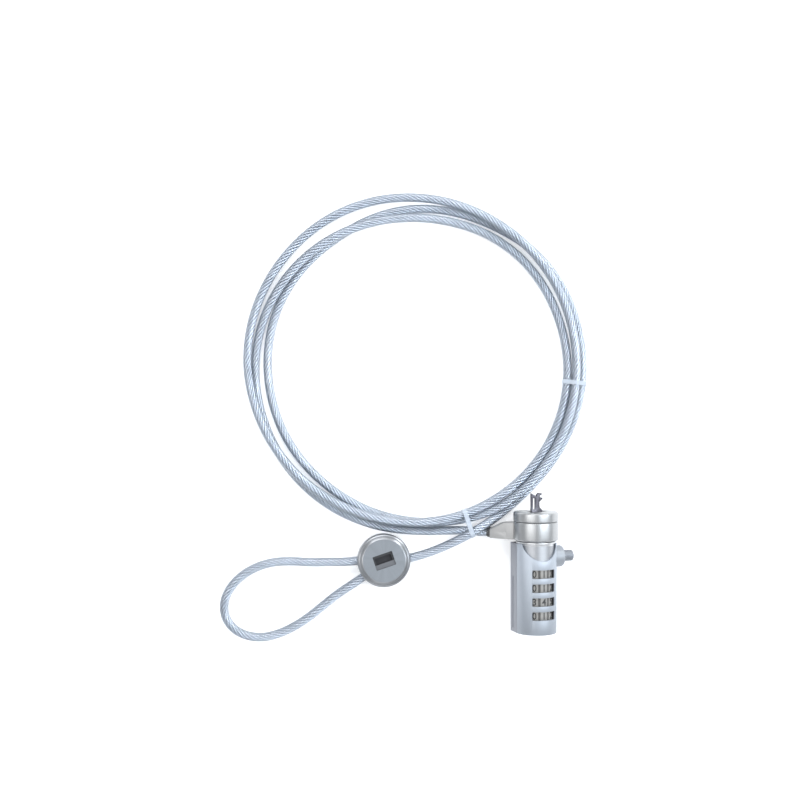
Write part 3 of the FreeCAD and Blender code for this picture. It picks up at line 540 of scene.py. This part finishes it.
LOOP = [(-87.56, -0.30, 5.20), (-95.31, -1.20, 4.65), (-103.16, -1.25, 3.30), (-112.36, -1.75, 2.42), (-122.16, -1.00, 2.27),
        (-131.66, -1.40, 2.26), (-140.91, -4.05, 2.26), (-148.96, -9.05, 2.26), (-154.56, -15.30, 2.26), (-157.36, -22.40, 2.26),
        (-156.86, -29.50, 2.26), (-152.76, -35.80, 2.26), (-145.66, -39.60, 2.26), (-137.56, -40.50, 2.26),
        (-129.76, -38.80, 2.26), (-121.56, -35.10, 2.26), (-113.86, -30.20, 2.27), (-106.66, -24.30, 2.45),
        (-99.46, -18.30, 3.35), (-91.86, -13.20, 4.60), (-85.16, -8.60, 5.42), (-81.86, -6.10, 5.10)]
CABLE_D = 4.5


def cable_curve(name, fine):
    c = bpy.data.curves.new(name, "CURVE")
    c.dimensions = "3D"
    s = c.splines.new("NURBS")
    route = LEAD + COIL + TAIL + LOOP
    s.points.add(len(route) - 1)
    for pt, co in zip(s.points, route):
        pt.co = (co[0] * MM, co[1] * MM, co[2] * MM, 1)
    s.order_u = 3
    s.use_endpoint_u = True
    s.resolution_u = fine
    c.resolution_u = fine
    o = bpy.data.objects.new(name, c)
    bpy.context.scene.collection.objects.link(o)
    return o


jacket = cable_curve("cable_jacket", 12)
jacket.data.bevel_depth = CABLE_D / 2 * MM
jacket.data.bevel_resolution = 5
jacket.data.use_fill_caps = True
jacket.data.materials.append(jacket_material())

guide = cable_curve("guide", 24)
guide_mesh = bpy.data.meshes.new_from_object(guide)
line = [v.co.copy() for v in guide_mesh.vertices]
bpy.data.meshes.remove(guide_mesh)
bpy.data.objects.remove(guide)
if (line[0] - Vector(LEAD[0]) * MM).length > (line[-1] - Vector(LEAD[0]) * MM).length:
    line.reverse()
at_s = [0.0]
for a, b in zip(line, line[1:]):
    at_s.append(at_s[-1] + (b - a).length)
CABLE_LENGTH = at_s[-1]


def line_at(step):
    """Points a step apart along the cable's line."""
    out, i = [], 0
    n = int(CABLE_LENGTH / step)
    for k in range(n + 1):
        s = k * CABLE_LENGTH / n
        while i < len(at_s) - 2 and at_s[i + 1] < s:
            i += 1
        f = (s - at_s[i]) / max(at_s[i + 1] - at_s[i], 1e-12)
        out.append((s, line[i].lerp(line[i + 1], min(max(f, 0), 1))))
    return out


# ------------------------------------------------------------------ the rope's six strands, laid right-handed
STRAND_R = 0.00060
LAY = 0.0170
ROPE_PITCH_R = 0.00119
samples = line_at(0.0009)
tangents, normals = [], []
for i, (s, p) in enumerate(samples):
    a = samples[max(i - 1, 0)][1]
    b = samples[min(i + 1, len(samples) - 1)][1]
    tangents.append((b - a).normalized())
nrm = tangents[0].orthogonal().normalized()
for t in tangents:
    nrm = (nrm - t * nrm.dot(t)).normalized()
    normals.append(nrm.copy())

rope_mat = rope_material(CABLE_LENGTH * 1000)
for k in range(6):
    centres, outs = [], []
    for (s, p), t, n in zip(samples, tangents, normals):
        ang = 2 * math.pi * (s / LAY + k / 6)
        e = n * math.cos(ang) + t.cross(n) * math.sin(ang)
        centres.append(p + e * ROPE_PITCH_R)
        outs.append(e)
    bm = bmesh.new()
    uv = bm.loops.layers.uv.new("lay")
    ring_n = 8
    prev = None
    first = None
    total = len(centres)
    for i in range(total):
        t = (centres[min(i + 1, total - 1)] - centres[max(i - 1, 0)]).normalized()
        e = (outs[i] - t * outs[i].dot(t)).normalized()
        f = t.cross(e)
        ring = [bm.verts.new(centres[i] + (e * math.cos(2 * math.pi * j / ring_n) + f * math.sin(2 * math.pi * j / ring_n)) * STRAND_R)
                for j in range(ring_n)]
        if prev:
            for j in range(ring_n):
                j2 = (j + 1) % ring_n
                face = bm.faces.new((prev[j], prev[j2], ring[j2], ring[j]))
                face.smooth = True
                v0, v1 = (i - 1) / (total - 1), i / (total - 1)
                for lp, (uu, vv) in zip(face.loops, ((j / ring_n, v0), ((j + 1) / ring_n, v0), ((j + 1) / ring_n, v1), (j / ring_n, v1))):
                    lp[uv].uv = (uu, vv)
        else:
            first = ring
        prev = ring
    bm.faces.new(list(reversed(first)))
    bm.faces.new(prev)
    me = bpy.data.meshes.new("rope_strand_%d" % (k + 1))
    bm.to_mesh(me)
    bm.free()
    me.materials.append(rope_mat)
    o = bpy.data.objects.new("rope_strand_%d" % (k + 1), me)
    bpy.context.scene.collection.objects.link(o)
    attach(o, "cable_side")

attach(jacket, "cable_side")
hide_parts("cable_lead", "cable_coil", "cable_tail", "cable_loop")


# ------------------------------------------------------------------ ties round the coil
def tie(name, angle, node):
    """A thin band drawn tight round the turns that cross a plane through the coil's centre."""
    c = Vector((-58.86, 100.38))
    e = Vector((math.cos(rad(angle)), math.sin(rad(angle))))
    n = Vector((-e.y, e.x))
    crossings = []
    pts = [p * 1000 for p in line]
    for a, b in zip(pts, pts[1:]):
        da, db = (a.xy - c).dot(n), (b.xy - c).dot(n)
        if da * db <= 0 and da != db:
            f = da / (da - db)
            q = a.lerp(b, f)
            r = (q.xy - c).dot(e)
            if 65 < r < 100:
                crossings.append(Vector((r, q.z)))
    half, inner, outer = 1.15, CABLE_D / 2 + 0.03, CABLE_D / 2 + 0.36
    count = 72

    def band(R, k):
        d = Vector((math.cos(2 * math.pi * k / count), math.sin(2 * math.pi * k / count)))
        best = max(crossings, key=lambda q: q.dot(d))
        return best + d * R

    bm = bmesh.new()
    # across the band: eased edges
    section = [(-half, inner), (-half, inner + 0.18), (-half + 0.13, outer), (half - 0.13, outer), (half, inner + 0.18), (half, inner)]
    rows = []
    for k in range(count):
        row = []
        for w, R in section:
            q = band(R, k)
            z = max(q.y, 0.02)
            row.append(bm.verts.new((c.x + e.x * q.x + n.x * w, c.y + e.y * q.x + n.y * w, z)))
        rows.append(row)
    m = len(section)
    for k in range(count):
        a, b = rows[k], rows[(k + 1) % count]
        for j in range(m):
            j2 = (j + 1) % m
            bm.faces.new((a[j], a[j2], b[j2], b[j]))
    bmesh.ops.remove_doubles(bm, verts=bm.verts, dist=0.002)
    return obj_from(bm, name, Matrix.Scale(MM, 4), tie_mat, "cable_side", (node,))


tie_mat = tie_material()
tie_a = tie("coil_tie_1", 288.6, "tie_1")
tie_b = tie("coil_tie_2", 353.4, "tie_2")

# ------------------------------------------------------------------ head: cap, ring, stem
cap_profile = eased(
    [(7.62, 20.55), (11.0, 20.55), (11.33, 20.88), (11.33, 24.85), (10.83, 25.36), (0, 25.36), (0, 24.2), (5.0, 24.2), (5.0, 23.2), (7.62, 23.2)],
    [0, 0.12, 0.12, 0.25, 0.25, 0, 0, 0, 0, 0], 4)
bm = lathe([(p[0], p[1]) for p in cap_profile], 128)
bm = move(bm, TO_Y)
slot_cut = prism(rounded_rect(-4.3, 5.2, -1.75, 1.75, 0.5), 23.9, 26.5)     # x, z(w) then height along y
slot_cut = move(slot_cut, Matrix(((1, 0, 0, 0), (0, 0, 1, 0), (0, 1, 0, 0), (0, 0, 0, 1))))
bm = cut(bm, [slot_cut])
obj_from(bm, "lock_head_cap", LOCK, NICKEL, "lock_body", ("head_cap",), sharp=28)

ring_profile = eased(
    [(7.68, 11.06), (10.88, 11.06), (11.33, 11.51), (11.33, 20.1), (11.03, 20.4), (8.75, 20.4), (8.75, 19.25), (7.68, 19.25)],
    [0, 0.25, 0.25, 0.12, 0.12, 0, 0, 0], 4)
bm = lathe([(p[0], p[1]) for p in ring_profile], 128)
bm = move(bm, TO_Y)
obj_from(bm, "cable_swivel_ring", RING, NICKEL, "cable_side", ("swivel_ring",), sharp=28)

# The collar's lighter material paints a highlight band on it.
collar_profile = eased([(7.75, 8.6), (9.47, 8.6), (9.47, 9.45), (10.1, 9.7), (10.1, 10.35), (9.8, 10.62), (7.75, 10.62)],
                       [0, 0.1, 0.1, 0.15, 0.15, 0.15, 0], 4)
bm = lathe([(p[0], p[1]) for p in collar_profile], 128)
bm = move(bm, TO_Y)
obj_from(bm, "core_collar", LOCK, COLLAR_PAINTED_HIGHLIGHT, "lock_body", sharp=28)

bm = bevelled(from_node("cable_stem"), 0.22, 3, 24)
obj_from(bm, "cable_stem_arm", Matrix.Scale(MM, 4), NICKEL_PLAIN, "cable_side", ("cable_stem",), sharp=40)

# ------------------------------------------------------------------ claws
for side in ("left", "right"):
    bm = bevelled(from_node("claw_" + side), 0.14, 2, 30)
    obj_from(bm, "hook_claw_" + side, Matrix.Scale(MM, 4), STEEL, "claw_" + side, ("claw_" + side,), sharp=40)


# ------------------------------------------------------------------ body: front cover and rear shell
def y_prism(outline_uw, y0, y1):
    """An outline in (u, w) pushed along y."""
    return move(prism(outline_uw, y0, y1), Matrix(((1, 0, 0, 0), (0, 0, 1, 0), (0, 1, 0, 0), (0, 0, 0, 1))))


R, WALL = 10.5, 0.95
arc = [(R * math.cos(rad(a)), R * math.sin(rad(a))) for a in [180 * i / 72 for i in range(73)]]
arc_in = [((R - WALL) * math.cos(rad(a)), (R - WALL) * math.sin(rad(a))) for a in [180 - 180 * i / 72 for i in range(73)]]
cover = y_prism(arc + arc_in, -35.6, 9.6)
cutters = []
half_u = R * math.sin(rad(35.8))
for i in range(4):
    yc = -5.2 - 6.95 * i
    cutters.append(prism(rounded_rect(-half_u, half_u, yc - 2.15, yc + 2.15, 0.45), 4, 16))
scallop = cylinder(8.9, 2, 18, 96)
scallop = move(scallop, Matrix.Translation((-0.7, 10.1, 0)))
cutters.append(scallop)
boss_hole = move(cylinder(5.43, 6, 20, 72), TO_U)
cutters.append(boss_hole)
cover = cut(cover, cutters)
cover = bevelled(cover, 0.16, 2, 38)
obj_from(cover, "body_front_cover", LOCK, SILVER, "lock_body", ("front_cover",), sharp=30)

shell_outline = eased([(-10.5, -0.24), (-10.5, -8.1), (10.5, -8.1), (10.5, -0.24), (9.3, -0.24), (9.3, -6.8), (-9.3, -6.8), (-9.3, -0.24)],
                      [0, 0.9, 0.9, 0, 0, 0.3, 0.3, 0], 5)
shell = y_prism([(p[0], p[1]) for p in shell_outline], -35.6, 9.6)
cutters = []
for side in (-1, 1):
    x0, x1 = sorted((side * 10.15, side * 12))
    cutters.append(y_prism([(x0, -5.3), (x1, -5.3), (x1, -3.1), (x0, -3.1)], -33.4, -7.5 if side < 0 else -8.5))
cutters.append(move(cylinder(5.43, 6, 20, 72), TO_U))
for sy in (5.5, -33.1):
    cutters.append(move(cylinder(1.4, -9.5, -7.5, 40), Matrix.Translation((0, sy, 0))))
shell = cut(shell, cutters)
shell = bevelled(shell, 0.2, 2, 38)
obj_from(shell, "body_rear_shell", LOCK, SILVER_BACK_TONE_AND_SHADE, "lock_body", ("rear_shell",), sharp=30)


# ------------------------------------------------------------------ push pin with a knurled grip
def knurled_pin():
    """Shaft, collar and grip as one turned piece, with diamond knurling raised on the grip."""
    segs = 112
    prof = [(0, 8.0), (1.65, 8.0), (1.65, 11.7), (3.06, 11.7), (3.06, 13.1), (2.6, 13.1), (2.6, 14.5)]
    grip = [(2.66, 14.6)]
    start, end, rows = 14.8, 20.1, 44
    for i in range(rows + 1):
        grip.append((2.73, start + (end - start) * i / rows))
    tip = [(2.66, 20.25), (2.45, 20.45), (2.15, 20.6), (1.9, 20.65), (1.2, 20.65), (1.05, 20.5), (0, 20.5)]
    profile = prof + grip + tip
    bm = bmesh.new()
    rings = []
    for r, z in profile:
        if r < 1e-6:
            rings.append([bm.verts.new((0, 0, z))])
            continue
        ring = []
        for k in range(segs):
            th = 2 * math.pi * k / segs
            rr = r
            if abs(r - 2.73) < 1e-6:
                teeth = 14
                a = abs(math.sin(teeth * th / 2 + z * 2.6))
                b = abs(math.sin(teeth * th / 2 - z * 2.6))
                rr = 2.60 + 0.24 * min(a, b) ** 0.8
            ring.append(bm.verts.new((rr * math.cos(th), rr * math.sin(th), z)))
        rings.append(ring)
    for a, b in zip(rings, rings[1:]):
        for k in range(segs):
            k2 = (k + 1) % segs
            if len(a) == 1:
                bm.faces.new((a[0], b[k2], b[k]))
            elif len(b) == 1:
                bm.faces.new((a[k], a[k2], b[0]))
            else:
                bm.faces.new((a[k], a[k2], b[k2], b[k]))
    return bm


bm = move(knurled_pin(), TO_U)
obj_from(bm, "push_pin_knurled", LOCK, KNURL, "push_pin", ("release_button",), sharp=45)


# ------------------------------------------------------------------ dials with their numbers
INK = ink_material()
DIAL_AT = 1.4


def dial_mesh(y0, y1):
    pts = []
    R0 = 7.9
    for k in range(10):
        mid = 36 * k + 18
        # land, then a notch
        for f in range(9):
            a = rad(36 * k - 13.2 + 26.4 * f / 8)
            pts.append((R0 * math.sin(a), R0 * math.cos(a)))
        cx, cz = (R0 + 0.12) * math.sin(rad(mid)), (R0 + 0.12) * math.cos(rad(mid))
        for f in range(1, 8):
            b = rad(mid) + math.pi + rad(80 - 160 * f / 8)
            pts.append((cx + 0.62 * math.sin(b), cz + 0.62 * math.cos(b)))
    bm = bmesh.new()
    bore = 5.7

    def ring(scale, y):
        return [bm.verts.new((p[0] * scale, y, DIAL_AT + p[1] * scale)) for p in pts]

    n = len(pts)
    bore_pts = []
    for p in pts:
        d = Vector((p[0], p[1])).normalized() * bore
        bore_pts.append((d.x, d.y))

    def bring(y):
        return [bm.verts.new((p[0], y, DIAL_AT + p[1])) for p in bore_pts]

    e = 0.28
    k1 = (7.9 - e) / 7.9
    k2 = (7.9 - e * 0.3) / 7.9
    rings = [bring(y0), ring(k1, y0), ring(k2, y0 + e * 0.3), ring(1, y0 + e), ring(1, y1 - e), ring(k2, y1 - e * 0.3), ring(k1, y1), bring(y1)]
    pairs = list(zip(rings, rings[1:])) + [(rings[-1], rings[0])]
    for a, b in pairs:
        for i in range(n):
            bm.faces.new((a[i], a[(i + 1) % n], b[(i + 1) % n], b[i]))
    return bm


def digit_mesh(bm, text, angle, yc):
    """One painted digit, wrapped on the dial at angle degrees from the front, upright along +Y."""
    c = bpy.data.curves.new("digit", "FONT")
    c.body = text
    c.size = 4.6
    c.align_x, c.align_y = "CENTER", "CENTER"
    c.extrude = 0.03
    c.offset = 0.06
    c.resolution_u = 5
    o = bpy.data.objects.new("digit", c)
    bpy.context.scene.collection.objects.link(o)
    bpy.context.view_layer.update()
    dg = bpy.context.evaluated_depsgraph_get()
    me = bpy.data.meshes.new_from_object(o.evaluated_get(dg))
    bpy.data.objects.remove(o)
    t = bmesh.new()
    t.from_mesh(me)
    bpy.data.meshes.remove(me)
    bmesh.ops.remove_doubles(t, verts=t.verts, dist=0.0005)
    bmesh.ops.triangulate(t, faces=t.faces)
    for _ in range(3):
        long = [e for e in t.edges if e.calc_length() > 0.5]
        if long:
            bmesh.ops.subdivide_edges(t, edges=long, cuts=1)
            bmesh.ops.triangulate(t, faces=t.faces)
    xs = [v.co.x for v in t.verts]
    ys = [v.co.y for v in t.verts]
    mx, my = (min(xs) + max(xs)) / 2, (min(ys) + max(ys)) / 2
    wide = min(1.0, 2.5 / max(max(xs) - min(xs), 0.1))
    tall = 3.5 / max(max(ys) - min(ys), 0.1)
    for v in t.verts:
        x, y, z = (v.co.x - mx) * max(wide, 0.9) * 1.0, (v.co.y - my) * tall, v.co.z
        th = rad(angle) + x / 7.9
        rr = 7.9 + 0.012 + (z + 0.03) * 0.6
        v.co = Vector((rr * math.sin(th), yc + y, DIAL_AT + rr * math.cos(th)))
    me = bpy.data.meshes.new("part")
    t.to_mesh(me)
    t.free()
    bm.from_mesh(me)
    bpy.data.meshes.remove(me)


facing = [1, 1, 4, 1]
for i in range(4):
    yc = -5.2 - 6.95 * i
    name = "dial_%d" % (i + 1)
    bm = dial_mesh(yc - 2.7, yc + 2.7)
    dial = obj_from(bm, "number_dial_%d" % (i + 1), LOCK, [DIAL, GROOVE_PAINTED_SHADE], name, (name,), sharp=38)
    # Painted shade: faces inside the notches take the dark groove material.
    for poly in dial.data.polygons:
        q = LOCK.inverted() @ poly.center
        if 7.0 < math.hypot(q.x, q.z - DIAL_AT) < 7.72 and abs(q.y - yc) < 2.6:
            poly.material_index = 1
    bm = bmesh.new()
    for k in range(10):
        digit_mesh(bm, str((facing[i] + k) % 10), 36 * k, yc)
    obj_from(bm, "numbers_%d" % (i + 1), LOCK, INK, name, sharp=40)

# ------------------------------------------------------------------ the slotted disc on the cable
body_profile = eased([(0, 0), (12.6, 0), (13.6, 1.0), (13.6, 5.15), (13.35, 5.4), (0, 5.4)], [0, 0.5, 0.5, 0.1, 0.1, 0], 5)
bm = lathe([(p[0], p[1]) for p in body_profile], 144, closed=False)


def along(p0, p1, r, back=0.0, ahead=0.0, segs=40):
    a, b = Vector(p0), Vector(p1)
    d = (b - a)
    L = d.length
    m = Matrix.Translation(a) @ d.to_track_quat("Z", "Y").to_matrix().to_4x4()
    return move(cylinder(r, -back, L + ahead, segs), m)


UNANCHOR = (Matrix.Scale(1 / MM, 4) @ Matrix.Scale(MM, 4)) @ (Matrix.Translation(ANCHOR_AT) @ Matrix.Rotation(rad(6), 4, TILT_AXIS)).inverted()


def local(p):
    return UNANCHOR @ Vector(p)


holes = []
for p0, p1, back, ahead in (((-65.36, -0.15, 3.35), (-70.5, -0.25, 3.5), 8, 0),
                            ((-84.0, -0.25, 4.75), (-91.5, -0.70, 4.95), 0, 8),
                            ((-95.0, -15.4, 4.0), (-86.0, -9.3, 5.3), 6, 0)):
    holes.append((local(p0), local(p1), back, ahead))
bm = cut(bm, [along(p0, p1, 2.42, back, ahead) for p0, p1, back, ahead in holes])
obj_from(bm, "disc_body", ANCHOR, ZINC, "cable_side", ("anchor_body",), sharp=28)

cap_profile = eased([(0, 5.42), (13.35, 5.42), (13.6, 5.67), (13.6, 6.65), (13.25, 7.16), (12.52, 7.60), (12.44, 7.44), (12.26, 7.50), (12.22, 7.80),
                     (11.25, 8.42), (10.95, 8.6), (0, 8.6)],
                    [0, 0.1, 0.1, 0.3, 0.2, 0.05, 0.04, 0.04, 0.1, 0, 0.25, 0], 4)
bm = lathe([(p[0], p[1]) for p in cap_profile], 144, closed=False)
turn = Matrix.Rotation(rad(18.5), 4, "Z")
recess = move(prism(rounded_rect(-5.2, 5.2, -1.15, 3.6, 0.35), 7.5, 10), turn)
step = move(prism(rounded_rect(-5.2, 5.2, -3.6, -0.98, 0.35), 7.78, 10), turn)
slot = move(prism(rounded_rect(-4.3, 4.3, -0.95, 2.35, 0.3), 6.0, 9), turn)
for tool in (recess, step, slot):
    bm = cut(bm, [tool])
bm = bevelled(bm, 0.10, 2, 42)
cap = obj_from(bm, "disc_cap", ANCHOR, [ZINC, anchor_face_material(), SLOT_PAINTED_SHADOW, RECESS_PAINTED_SHADE, LEDGE_PAINTED_SHADE], "cable_side", ("anchor_cap",), sharp=28)
up = (ANCHOR.to_3x3() @ Vector((0, 0, 1))).normalized()
inv = ANCHOR.inverted()
for poly in cap.data.polygons:
    q = inv @ poly.center
    if poly.normal.dot(up) > 0.995 and q.z > 8.55:
        poly.material_index = 1
        poly.use_smooth = False
    # Painted shadow: faces in the slot get the near-black slot material.
    elif math.hypot(q.x, q.y) < 6.7 and q.z < 7.42 and q.z > 5.6:
        poly.material_index = 2
        poly.use_smooth = False
    # Painted shade: recess faces get the dark recess material, and the lower ledge the mid-dark one.
    elif math.hypot(q.x, q.y) < 6.7 and q.z < 8.48 and q.z > 5.6:
        low = (turn.inverted() @ q).y < -1.0 and poly.normal.dot(up) > 0.9
        poly.material_index = 4 if low else 3
        poly.use_smooth = False

# ------------------------------------------------------------------ CAD nodes that stay, with their materials
RUBBER_AND_GAP_SHADE = rubber_and_gap_shade_material()
kept = {
    "core_barrel": CORE, "retaining_ring": STEEL, "stem_bush": RUBBER_AND_GAP_SHADE, "cable_ferrule": STEEL, "stem_cross_pin": NICKEL_PLAIN,
    "button_housing": BOSS, "end_plate": SILVER_BACK_TONE_AND_SHADE, "shell_screws": STEEL, "reset_screw": STEEL,
    "dial_spindle": SPACER, "dial_spacers": SPACER, "detent_spring": STEEL, "locking_bar": STEEL,
    "draw_bar": STEEL, "draw_bar_spring": STEEL, "button_spring": STEEL, "claw_pivot_pin": STEEL,
    "anchor_ferrule": STEEL, "anchor_rivets": STEEL,
}
for i in range(4):
    kept["code_sleeve_%d" % (i + 1)] = SPACER
for n, m in kept.items():
    o = nodes[n]
    if not o.data.materials:
        o.data.materials.append(m)
    for s in o.material_slots:
        s.material = m

# ------------------------------------------------------------------ floor and soft studio light
bpy.ops.mesh.primitive_plane_add(size=6, location=(-0.066, 0.08, 0))
floor = bpy.context.active_object
floor.name = "floor"
floor.data.materials.append(floor_material())


def area(name, direction, distance, size, power, colour, size_y=None):
    d = Vector(direction).normalized()
    data = bpy.data.lights.new(name, "AREA")
    data.shape = "RECTANGLE"
    data.size, data.size_y = size, size_y or size
    data.energy, data.color = power, colour
    o = bpy.data.objects.new(name, data)
    o.location = Vector((-0.066, 0.08, 0)) + d * distance
    o.rotation_euler = d.to_track_quat("Z", "Y").to_euler()
    bpy.context.scene.collection.objects.link(o)
    return o


area("soft_right", (0.66, 0.05, 0.76), 1.5, 0.32, 11.5, (0.87, 0.94, 1.0), 1.3)
area("soft_left", (-0.50, 0.0, 0.87), 1.5, 0.45, 6.5, (0.97, 0.97, 0.97), 1.2)
area("soft_top", (-0.10, 0.75, 0.66), 1.6, 1.2, 11.5, (0.97, 0.98, 1.0), 0.6)
area("soft_front", (0.0, -0.8, 0.6), 1.6, 1.2, 3, (0.97, 0.98, 1.0), 0.6)
area("rim_light", (0.65, 0.60, 0.45), 1.5, 0.35, 6, (0.96, 0.98, 1.0), 0.35)

world = bpy.data.worlds.new("studio")
world.use_nodes = True
bg = world.node_tree.nodes["Background"]
bg.inputs["Color"].default_value = (0.93, 0.96, 1.0, 1)
bg.inputs["Strength"].default_value = 0.62
bpy.context.scene.world = world
bpy.context.scene.view_settings.view_transform = "Standard"
bpy.context.scene.view_settings.look = "None"
